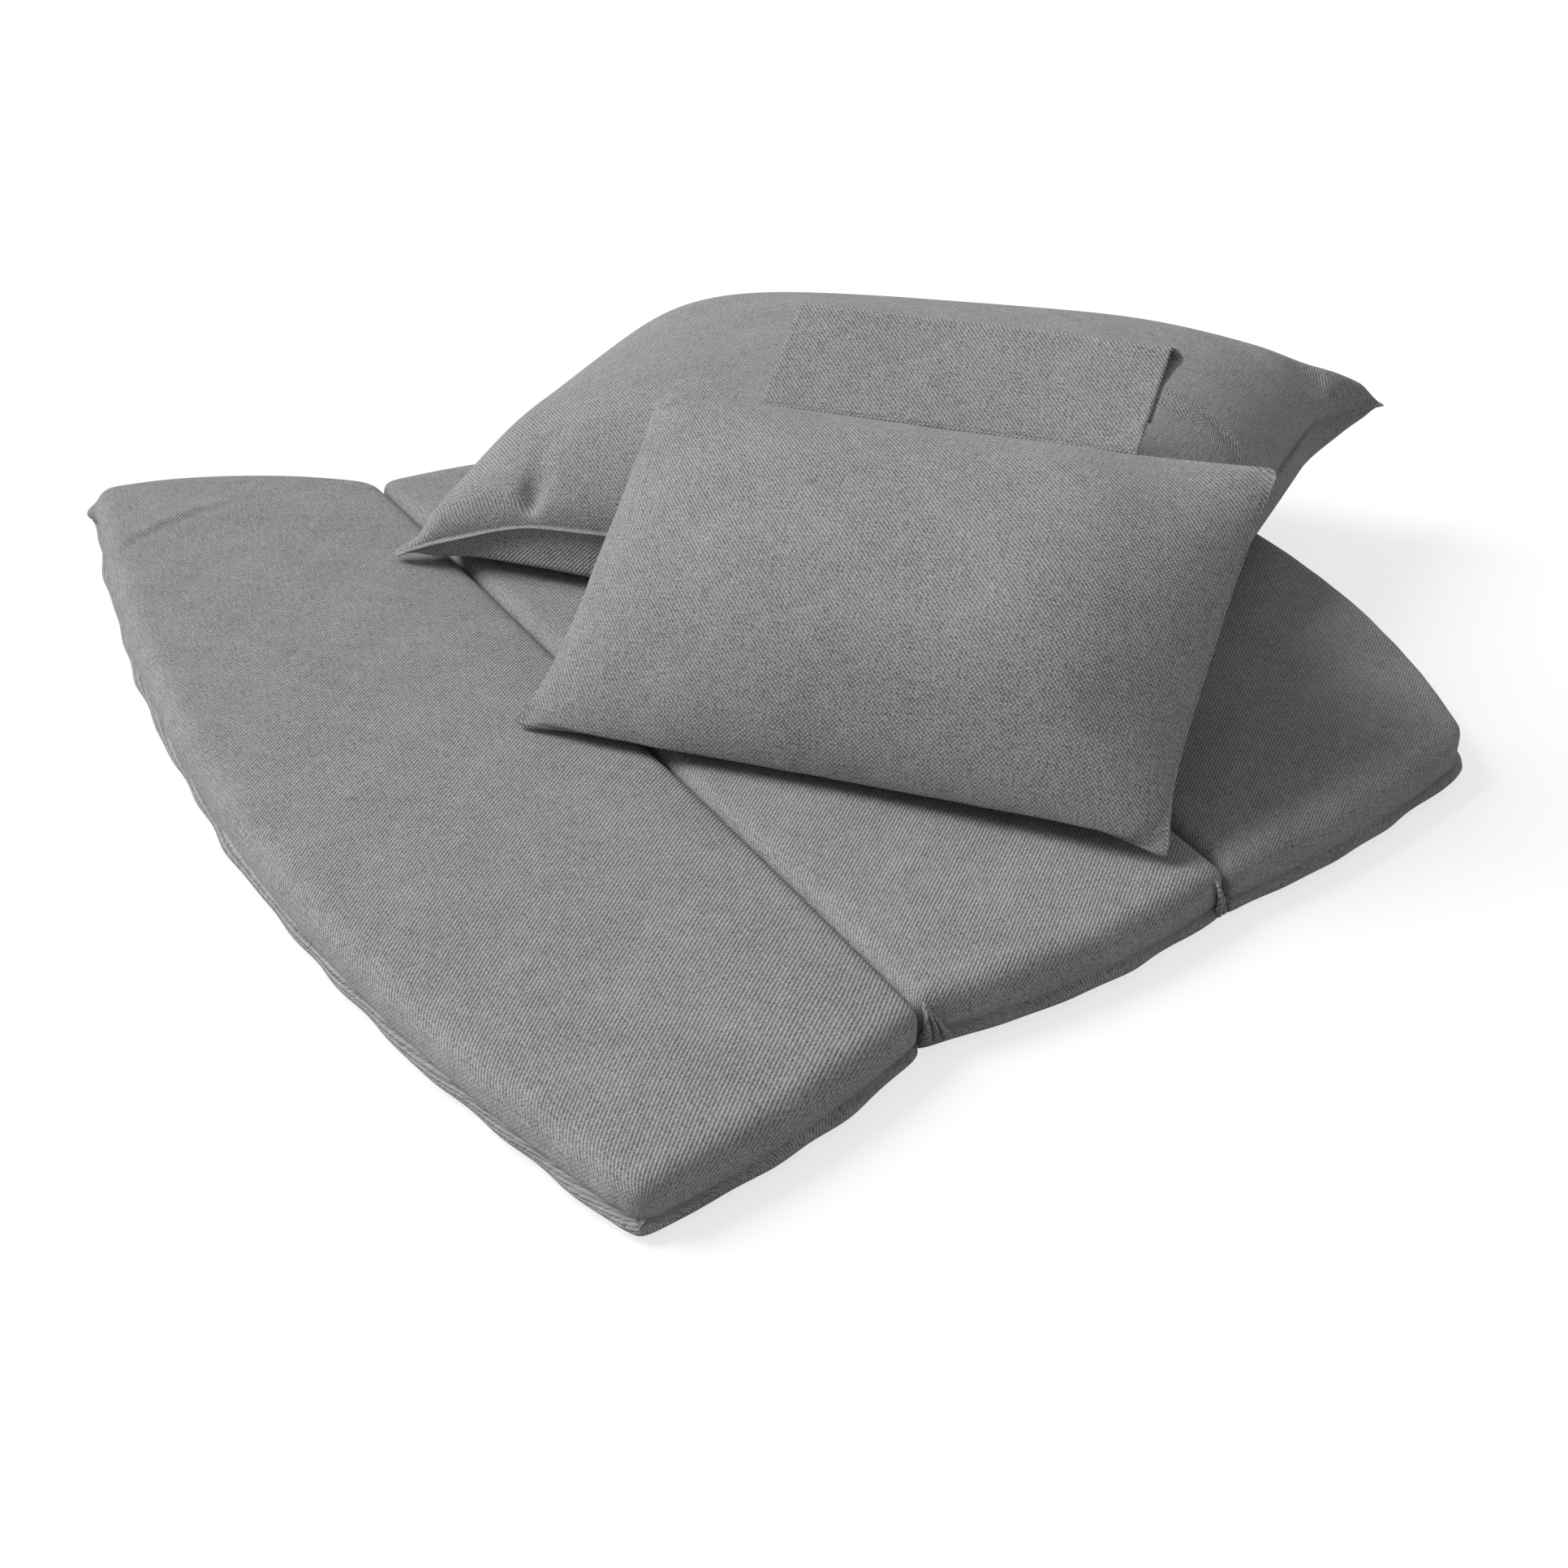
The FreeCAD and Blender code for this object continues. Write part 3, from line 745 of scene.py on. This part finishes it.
def smooth_step(value):
    """0 below 0, 1 above 1, and a smooth rise between."""
    value = np.clip(value, 0, 1)
    return value * value * (3 - 2 * value)


def within(value, span, fades):
    """1 inside a span, fading to 0 towards each end of it."""
    return smooth_step((value - span[0]) / fades[0]) * smooth_step((span[1] - value) / fades[1])


def puckers(x, y, turn_u, turn_v, widths, lengths, seed):
    """Short waves in the cloth beside the long and the short sewn edges."""
    beside_long = bell(1 - np.abs(turn_v), widths[0]) * ripple(x, lengths[0], seed)
    beside_short = bell(1 - np.abs(turn_u), widths[1]) * ripple(y, lengths[1], seed + 1)
    return beside_long + beside_short


def near_corner(turn_u, turn_v, ways, reach):
    """1 at one corner of a pillow, fading to 0 that far from it."""
    from_u, from_v = 1 - ways[0] * turn_u, 1 - ways[1] * turn_v
    return smooth_step(1 - from_u / reach) * smooth_step(1 - from_v / reach)


def placed(points, matrix):
    """Points moved from a pillow's own axes to its place."""
    turn = np.array(matrix.to_3x3())
    return points @ turn.T + np.array(matrix.translation)


back_along = -Vector(joint("back_zip_slide")["axis"])
back_across = Vector((0, 0, 1)).cross(back_along).normalized()
back_edge = BACK_WIDTH / 2 - BACK_PULLS[2]
back_origin = node_middle("back_pillow_zip_chain") - back_across * (back_edge + ZIP_HALF)
back_axes = axes(back_along, back_across, back_origin)

x, y, share, edge, turn_u, turn_v = pillow_grid(
    BACK_LENGTH,
    BACK_WIDTH,
    BACK_PULLS,
    BACK_FLARE,
    BACK_FULLNESS,
    BACK_EARS,
    BACK_RIM,
    BACK_CORNER,
    BACK_STEPS,
)
pucker = puckers(x, y, turn_u, turn_v, BACK_PUCKER_WIDTHS, BACK_PUCKER_LENGTHS, seed=31)
slack = ripple(x + BACK_SLACK_SLANTS[0] * y, BACK_SLACK_LENGTHS[0], 33)
slack = slack * ripple(y - BACK_SLACK_SLANTS[1] * x, BACK_SLACK_LENGTHS[1], 34)
crown = share * (BACK_RISE - edge + BACK_SLACK * slack)
upper = np.stack([x, y, edge + crown + BACK_PUCKER * share * pucker], -1)
aside, along = beside_path(x, y, DENT_PATH)
pit = bell(np.hypot(x - DENT_PATH[0][0], y - DENT_PATH[0][1] - PIT_SHIFT), PIT_WIDTH)
filled = np.clip(share / FILLED_SHARE, 0, 1)
upper[..., 2] -= (DENT_DEPTH * bell(aside, DENT_WIDTH) * (1 - along) + PIT_DEPTH * pit) * filled
hollow = bell(np.hypot(x - HOLLOW_PLACE[0], y - HOLLOW_PLACE[1]), HOLLOW_WIDTH)
upper[..., 2] -= HOLLOW_DEPTH * hollow * filled
aside, along = beside_path(x, y, RIDGE_PATH)
ridge = bell(aside + RIDGE_SHIFT, RIDGE_WIDTH) - GROOVE_DEPTH * bell(aside - GROOVE_SHIFT, RIDGE_WIDTH)
upper[..., 2] += RIDGE_HEIGHT * ridge * np.sin(np.pi * np.clip(RIDGE_START + RIDGE_RUN * along, 0, 1))
slope = math.tan(math.asin(back_along.z))
drop = (back_origin.z - pad_top - REST_GAP) / back_axes.to_3x3().col[2].z
floor_depth = drop + x * slope
room = np.maximum(floor_depth, LEAST_DEPTH)
bulge = np.maximum(BACK_DROP * share ** BACK_DROP_CURVE + edge, LEAST_BULGE)
depth = (bulge ** -FLOOR_BLEND + room ** -FLOOR_BLEND) ** (-1 / FLOOR_BLEND)
depth = np.where(edge > 0, np.minimum(depth, floor_depth), 0)
near_side = np.clip(-2 * y / BACK_WIDTH, 0, 1)
hang = within(x, WALL_SPAN, WALL_FADES) * smooth_step(share / WALL_SHARE) * near_side ** WALL_CURVE
lower = np.stack([x, y - WALL_REACH * hang, -depth], -1)
seam_rise = SEAM_LIFT * within(x, SEAM_SPAN, SEAM_FADES) * near_side ** SEAM_CURVE
end_rise = smooth_step((END_TOP - y) / END_FADE) * np.clip(2 * x / BACK_LENGTH, 0, 1) ** END_CURVE
beside_seam = (1 - share) ** 2
raised = (seam_rise + END_LIFT * end_rise) * beside_seam
for corner, shift in BACK_TIP_SHIFTS.items():
    tip = near_corner(turn_u, turn_v, corner, TIP_REACH)[..., None] * np.array(shift)
    upper = upper + tip
    lower = lower + tip
upper[..., 2] += raised
for corner, swell in TIP_SWELL.items():
    upper[..., 2] += swell * near_corner(turn_u, turn_v, corner, SWELL_REACH) * np.sqrt(share)
drawn = END_DRAW * end_rise * beside_seam
upper[..., 0] -= drawn
lower[..., 0] -= drawn
lower[..., 2] = np.maximum(lower[..., 2] + raised, -room)
lower[edge == 0] = upper[edge == 0]
back_maps = cloth_map(upper), cloth_map(lower)
back_pillow = sewn_sheets("back_pillow", placed(upper, back_axes), placed(lower, back_axes), *back_maps)
back_nodes = ["back_pillow_" + end for end in ("upper_cover", "lower_cover", "filling")]
finish_cushion(back_pillow, "back_pillow", back_nodes)

# Zips
# Each pillow's cover opens at a concealed zip in one long edge. Small nylon teeth run along a woven tape
# of the cover's grey, and a plain lacquered slider without a pull tab closes them.

TAPE_THICK = 0.0010
TAPE_GAP = 0.0002
TAPE_MARGIN = 0.0012
TAPE_DARK = (0.075, 0.073, 0.072)
TAPE_LIGHT = (0.150, 0.146, 0.144)
TOOTH_PITCH = 0.0016
TOOTH_SIZE = (0.0024, 0.0024, 0.0011)
TOOTH_MARGIN = 0.0013
TOOTH_END = 0.002
NYLON_DARK = (0.070, 0.068, 0.067)
NYLON_LIGHT = (0.110, 0.107, 0.105)
SLIDER_HALF = 0.0055
SLIDER_DEEP = 0.0027
SLIDER_PLATE = 0.0014
SLIDER_WALL = 0.0012
SLIDER_NOSE = 0.0017
SLIDER_GAP = 0.0003
BEVEL = 0.0005
LACQUER_DARK = (0.060, 0.059, 0.058)
LACQUER_LIGHT = (0.135, 0.132, 0.130)
LACQUER_GLOSS = 0.30
LACQUER_WEAR = 0.2
LACQUER_METAL = 0.6

tape_cloth = mottled("zip_tape", TAPE_DARK, TAPE_LIGHT, scale=2.2, detail=2.0, roughness=0.85)[0]
nylon = mottled("nylon_teeth", NYLON_DARK, NYLON_LIGHT, scale=0.4, detail=2.0, roughness=0.45)[0]
lacquer, shader, wear = mottled(
    "lacquered_slider", LACQUER_DARK, LACQUER_LIGHT, scale=0.9, detail=3.0, roughness=LACQUER_GLOSS
)
lacquer.node_tree.links.new((LACQUER_GLOSS + LACQUER_WEAR * wear).socket, shader.inputs["Roughness"])
shader.inputs["Metallic"].default_value = LACQUER_METAL


def block_piece(name, blocks, matrix, material):
    """A piece of rounded blocks, each given by its lowest and highest corner in a pillow's own axes."""
    made = bmesh.new()
    for low, high in blocks:
        low, high = Vector(low), Vector(high)
        place = Matrix.Translation((low + high) / 2) @ Matrix.Diagonal((*(high - low), 1))
        corners = bmesh.ops.create_cube(made, size=1, matrix=place)["verts"]
        edges = list({edge for corner in corners for edge in corner.link_edges})
        bmesh.ops.bevel(made, geom=edges, offset=BEVEL, segments=3, profile=0.5, affect="EDGES")
    made.transform(matrix)
    mesh = bpy.data.meshes.new(name)
    made.to_mesh(mesh)
    made.free()
    mesh.materials.append(material)
    piece = bpy.data.objects.new(name, mesh)
    bpy.context.scene.collection.objects.link(piece)
    return piece


def zip_fastener(pillow, slider_body, matrix, edge_y, side, slider_axes):
    """Tape, teeth and slider of a zip in the long edge of a pillow."""
    chain_low, chain_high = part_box(pillow + "_zip_chain")
    chain_half = (Vector(chain_high) - Vector(chain_low)).length / 2
    tip = edge_y + 2 * ZIP_HALF
    across = sorted((side * (edge_y + TAPE_GAP), side * (tip - TAPE_MARGIN)))
    low = (-chain_half, across[0], -TAPE_THICK / 2)
    high = (chain_half, across[1], TAPE_THICK / 2)
    tape = block_piece(pillow + "_zip_tape", [(low, high)], matrix, tape_cloth)
    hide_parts(pillow + "_zip_chain")
    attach(tape, pillow)
    row_y = side * (tip - TOOTH_MARGIN)
    ends = [matrix @ Vector((end * (chain_half - TOOTH_END), row_y, 0)) for end in (-1, 1)]
    row_of_parts(pillow + "_zip_teeth", ends, TOOTH_PITCH, TOOTH_SIZE, nylon, pillow)
    middle = slider_axes.inverted() @ node_middle(pillow + "_zip_slider")
    start, end = middle.x - SLIDER_HALF, middle.x + SLIDER_HALF
    plate = sorted((side * (edge_y + SLIDER_WALL + TAPE_GAP), side * (tip + SLIDER_NOSE)))
    nose = sorted((side * (tip + SLIDER_GAP), side * (tip + SLIDER_NOSE)))
    blocks = []
    for level in (-SLIDER_DEEP, SLIDER_DEEP - SLIDER_PLATE):
        blocks.append(((start, plate[0], level), (end, plate[1], level + SLIDER_PLATE)))
    blocks.append(((start, nose[0], -SLIDER_DEEP), (end, nose[1], SLIDER_DEEP)))
    slider = block_piece(pillow + "_slider", blocks, matrix, lacquer)
    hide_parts(pillow + "_zip_slider")
    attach(slider, slider_body)


zip_fastener("back_pillow", "back_zip_slider", back_axes, back_edge, 1, back_axes)

# Neck pillow
# A small plump pillow of the same make. It stands on the pad on its lower edge and leans back over the
# near side of the back pillow, which pushes its filling up behind.

NECK_LENGTH = 0.438
NECK_WIDTH = 0.273
NECK_RISE = 0.057
NECK_DEPTH = 0.065
NECK_DEPTH_SHIFT = 0.026
NECK_SAG = 0.016
NECK_PULLS = (0.008, 0.008, 0.005)
NECK_FULLNESS = 2.1
NECK_FLARE = 2.6
NECK_EARS = (0.020, 0.020)
NECK_RIM = 0.0016
NECK_CORNER = 0.012
NECK_STEPS = (120, 86)
NECK_PUCKER = 0.006
NECK_PUCKER_WIDTHS = (0.15, 0.12)
NECK_PUCKER_LENGTHS = (0.045, 0.04)
NECK_CORNER_SHIFTS = {(-1, -1): (-0.010, 0.001, -0.005), (1, -1): (0.004, -0.007, -0.0105)}
DROOP_REACH = 0.55
NECK_SETTLE = (0.0086, 0.0159, -0.0103)
SETTLE_TOP = 0.02
SETTLE_FADE = 0.14
SETTLE_START = -0.25
SETTLE_RUN = 0.13
ZIP_TUCK = 0.0018
ROLL_FULLNESS = (4.4, 3.0)
ROLL_CURVE = 0.8
ROLL_EDGE = 0.9999
ROLL_DROP = 0.6
ROLL_FADE = 0.09
ROLL_START = 0.08
ROLL_RUN = 0.10
MARGIN_WIDTH = 0.008
BELLY_REACH = 0.0078
BELLY_START = 0.0015
BELLY_FULL = 0.0040
BELLY_FADE = 0.080
BELLY_ENDS = 6

neck_along = -Vector(joint("neck_zip_slide")["axis"])
neck_edge = NECK_WIDTH / 2 - NECK_PULLS[2]
zip_middle = node_middle("neck_pillow_zip_chain")
flap_root = Vector(joint("flap_swing")["pos_m"])
rise = flap_root - zip_middle
neck_across = (rise - neck_along * rise.dot(neck_along)).normalized()
neck_origin = zip_middle + neck_across * (neck_edge + ZIP_HALF)
neck_axes = axes(neck_along, neck_across, neck_origin)

x, y, share, edge, turn_u, turn_v = pillow_grid(
    NECK_LENGTH,
    NECK_WIDTH,
    NECK_PULLS,
    NECK_FLARE,
    NECK_FULLNESS,
    NECK_EARS,
    NECK_RIM,
    NECK_CORNER,
    NECK_STEPS,
)
pucker = puckers(x, y, turn_u, turn_v, NECK_PUCKER_WIDTHS, NECK_PUCKER_LENGTHS, seed=41)
rolled = np.maximum(smooth_step(-y / ROLL_FADE), smooth_step((x - ROLL_START) / ROLL_RUN))
fuller = np.ones_like(share)
for way, fullness in zip((turn_u, -turn_v), ROLL_FULLNESS):
    out = np.clip(np.sin(np.pi / 2 * way), 0, ROLL_EDGE)
    fuller = fuller * ((1 - out ** fullness) / (1 - out ** NECK_FULLNESS)) ** ROLL_CURVE
margin = smooth_step((NECK_LENGTH / 2 - x) / MARGIN_WIDTH) * fuller
rise = edge + (NECK_RISE * share ** (1 + ROLL_DROP * rolled) + NECK_PUCKER * share * pucker) * margin
belly = np.clip((rise - BELLY_START) / BELLY_FULL, 0, 1)
belly = belly * np.clip(1 - (y + neck_edge) / BELLY_FADE, 0, 1) ** 2
belly = belly * (1 - np.abs(2 * x / NECK_LENGTH) ** BELLY_ENDS).clip(0, 1)
front = np.stack([x, y - BELLY_REACH * belly - NECK_SAG * share, rise], -1)
rear = np.stack([x, y + NECK_DEPTH_SHIFT * share, -edge - share * NECK_DEPTH], -1)
for corner, shift in NECK_CORNER_SHIFTS.items():
    droop = near_corner(turn_u, turn_v, corner, DROOP_REACH)[..., None] * np.array(shift)
    front = front + droop
    rear = rear + droop
neck_maps = cloth_map(front), cloth_map(rear)
settle = smooth_step((SETTLE_TOP - y) / SETTLE_FADE) * smooth_step((x - SETTLE_START) / SETTLE_RUN)
settle = settle[..., None] * np.array(NECK_SETTLE)
neck_covers = [placed(cover, neck_axes) + settle for cover in (front, rear)]
for cover in neck_covers:
    cover[..., 2] = np.maximum(cover[..., 2], pad_top + REST_GAP)
neck_pillow = sewn_sheets("neck_pillow", *neck_covers, *neck_maps)
neck_nodes = ["neck_pillow_" + end for end in ("front_cover", "rear_cover", "filling")]
finish_cushion(neck_pillow, "neck_pillow", neck_nodes)
zip_axes = Matrix.Translation(NECK_SETTLE) @ neck_axes @ Matrix.Translation((0, ZIP_TUCK, 0))
zip_fastener("neck_pillow", "neck_zip_slider", zip_axes, neck_edge, -1, neck_axes)

# Hang flap
# A doubled band of the same cloth hangs the neck pillow on a chair back. It is sewn to the top edge with
# a thin rolled seam, stands up from it and folds back on itself, with a slit left open in the fold.

FLAP_LEFT = -0.142
FLAP_RIGHT = 0.124
FLAP_RISE = 0.090
FLAP_THICK = 0.0024
FLAP_SLIT = 0.007
FLAP_SLIT_LENGTH = 0.033
FLAP_TAIL = 0.062
FLAP_TAIL_GAP = 0.0006
FLAP_TAIL_CURVE = 0.8
FLAP_WAVE = 0.0012
FLAP_WAVE_LENGTH = 0.17
FLAP_ASKEW = 0.007
FLAP_ASKEW_CURVE = 1.4
FLAP_COLUMNS = 80
FRONT_STEPS = 26
TURN_STEPS = 13
TAIL_STEPS = 10
ROOT_GAP = 0.0006
ROLL_RADIUS = 0.0014
ROLL_WAVER = 0.12
ROLL_WAVER_LENGTH = 0.012
ROLL_STEPS = (90, 13)

root = neck_axes.inverted() @ flap_root
loop = (FLAP_SLIT + FLAP_THICK) / 2
fold_y = neck_edge + FLAP_RISE
loop_y = fold_y - loop - FLAP_THICK / 2
tail_z = -FLAP_THICK - FLAP_TAIL_GAP
slit_y = fold_y - FLAP_SLIT_LENGTH
turns = np.radians(np.linspace(90, -90, TURN_STEPS))
front_y = np.linspace(root.y + ROOT_GAP, loop_y, FRONT_STEPS)[:-1]
tail_steps = np.linspace(0, 1, TAIL_STEPS)[1:]
slit_run = loop_y + (slit_y - loop_y) * tail_steps
slit_z = -2 * loop + (tail_z + 2 * loop) * tail_steps ** FLAP_TAIL_CURVE
tail_run = slit_y - (FLAP_TAIL - FLAP_SLIT_LENGTH) * tail_steps
line_y = np.concatenate([front_y, loop_y + loop * np.cos(turns), slit_run, tail_run])
line_z = [np.zeros(len(front_y)), loop * np.sin(turns) - loop, slit_z, np.full(len(tail_steps), tail_z)]
line_z = np.concatenate(line_z)
flap_x = np.linspace(FLAP_LEFT, FLAP_RIGHT, FLAP_COLUMNS)[:, None]
lift = np.clip((line_y - root.y) / FLAP_RISE, 0, 1)[None, :]
wave = FLAP_WAVE * lift * ripple(flap_x + 0 * lift, FLAP_WAVE_LENGTH, 51)
askew = FLAP_ASKEW * np.clip(-line_z / (2 * loop), 0, 1)[None, :] ** FLAP_ASKEW_CURVE
points = np.stack([flap_x + askew, line_y[None, :] + 0 * flap_x, line_z[None, :] + wave], -1)
hang_flap = cloth_sheet("flap_band", placed(points, neck_axes), FLAP_THICK)
round_off(hang_flap)
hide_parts("hang_flap")
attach(hang_flap, "flap")

around = np.radians(np.linspace(0, 360, ROLL_STEPS[1]))[None, :]
along = np.linspace(FLAP_LEFT, FLAP_RIGHT, ROLL_STEPS[0])[:, None]
radius = ROLL_RADIUS * (1 + ROLL_WAVER * ripple(along, ROLL_WAVER_LENGTH, 52))
roll = np.stack([along + 0 * around, root.y + radius * np.cos(around), radius * np.sin(around)], -1)
index = np.arange(roll.shape[0] * roll.shape[1]).reshape(roll.shape[:2])
roll_faces = quads(index, -1).reshape(-1, 4)
roll_map = quads(cloth_map(roll), -1).reshape(-1, 2)
flap_roll = new_piece("flap_roll", placed(roll, neck_axes).reshape(-1, 3), roll_faces, roll_map)
flap_roll.data.materials.append(cover_cloth)
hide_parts("flap_seam")
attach(flap_roll, "neck_pillow")

# Studio
# A pale floor and a white surround, one broad soft lamp from the left and a weak even fill.

KEY_TOWARDS = (0.569, -0.478, -0.669)
KEY_STRENGTH = 3.0
KEY_SPREAD = 0.6
FILL_STRENGTH = 0.325
FLOOR_SIZE = 14.0
FLOOR_DROP = 0.001
FLOOR_ROUGHNESS = 0.9
FLOOR_TONE = 0.52
FLOOR_SEEN_TONE = 0.30
FLOOR_GLOW = 0.72
CAMERA_PLACE = (-0.85837, -1.60640, 0.99092)
CAMERA_AIM = (0.41438, 0.76342, -0.49546)
CAMERA_LENS = 68.94
SENSOR_WIDTH = 36.0
CAMERA_SHIFT = -0.0083

half = FLOOR_SIZE / 2
floor_mesh = bpy.data.meshes.new("studio_floor")
floor_corners = [(-half, -half, 0), (half, -half, 0), (half, half, 0), (-half, half, 0)]
floor_mesh.from_pydata(floor_corners, [], [(0, 1, 2, 3)])
floor = bpy.data.objects.new("studio_floor", floor_mesh)
floor.location.z = -FLOOR_DROP
bpy.context.scene.collection.objects.link(floor)
floor_material = bpy.data.materials.new("studio_floor")
floor_material.use_nodes = True
tree = floor_material.node_tree
shader = tree.nodes["Principled BSDF"]


def seen_rays(tree):
    """1 where the camera sees a surface, also in a mirror or through glass."""
    paths = tree.nodes.new("ShaderNodeLightPath").outputs
    seen = Value(tree, paths["Is Camera Ray"])
    for kind in ("Is Glossy Ray", "Is Transmission Ray"):
        seen = seen.math("MAXIMUM", seen, Value(tree, paths[kind]))
    return seen


seen = seen_rays(tree)
glow_colour = colour_between(seen, (0, 0, 0), (FLOOR_GLOW,) * 3)
floor_colour = colour_between(seen, (FLOOR_TONE,) * 3, (FLOOR_SEEN_TONE,) * 3)
tree.links.new(glow_colour.socket, shader.inputs["Emission Color"])
tree.links.new(floor_colour.socket, shader.inputs["Base Color"])
shader.inputs["Emission Strength"].default_value = 1.0
shader.inputs["Roughness"].default_value = FLOOR_ROUGHNESS
floor_mesh.materials.append(floor_material)

world = bpy.data.worlds.new("studio")
world.use_nodes = True
bpy.context.scene.world = world
background = world.node_tree.nodes["Background"]
strength = FILL_STRENGTH + (1 - FILL_STRENGTH) * seen_rays(world.node_tree)
world.node_tree.links.new(strength.socket, background.inputs["Strength"])
background.inputs["Color"].default_value = (1, 1, 1, 1)

key_data = bpy.data.lights.new("key", "SUN")
key_data.energy = KEY_STRENGTH
key_data.angle = KEY_SPREAD
key = bpy.data.objects.new("key", key_data)
key.rotation_euler = Vector(KEY_TOWARDS).to_track_quat("-Z", "Y").to_euler()
bpy.context.scene.collection.objects.link(key)

camera_data = bpy.data.cameras.new("camera")
camera_data.lens = CAMERA_LENS
camera_data.sensor_width = SENSOR_WIDTH
camera_data.shift_y = CAMERA_SHIFT
camera = bpy.data.objects.new("camera", camera_data)
camera.location = CAMERA_PLACE
camera.rotation_euler = Vector(CAMERA_AIM).to_track_quat("-Z", "Y").to_euler()
bpy.context.scene.collection.objects.link(camera)
bpy.context.scene.camera = camera
bpy.context.scene.view_settings.view_transform = "Standard"
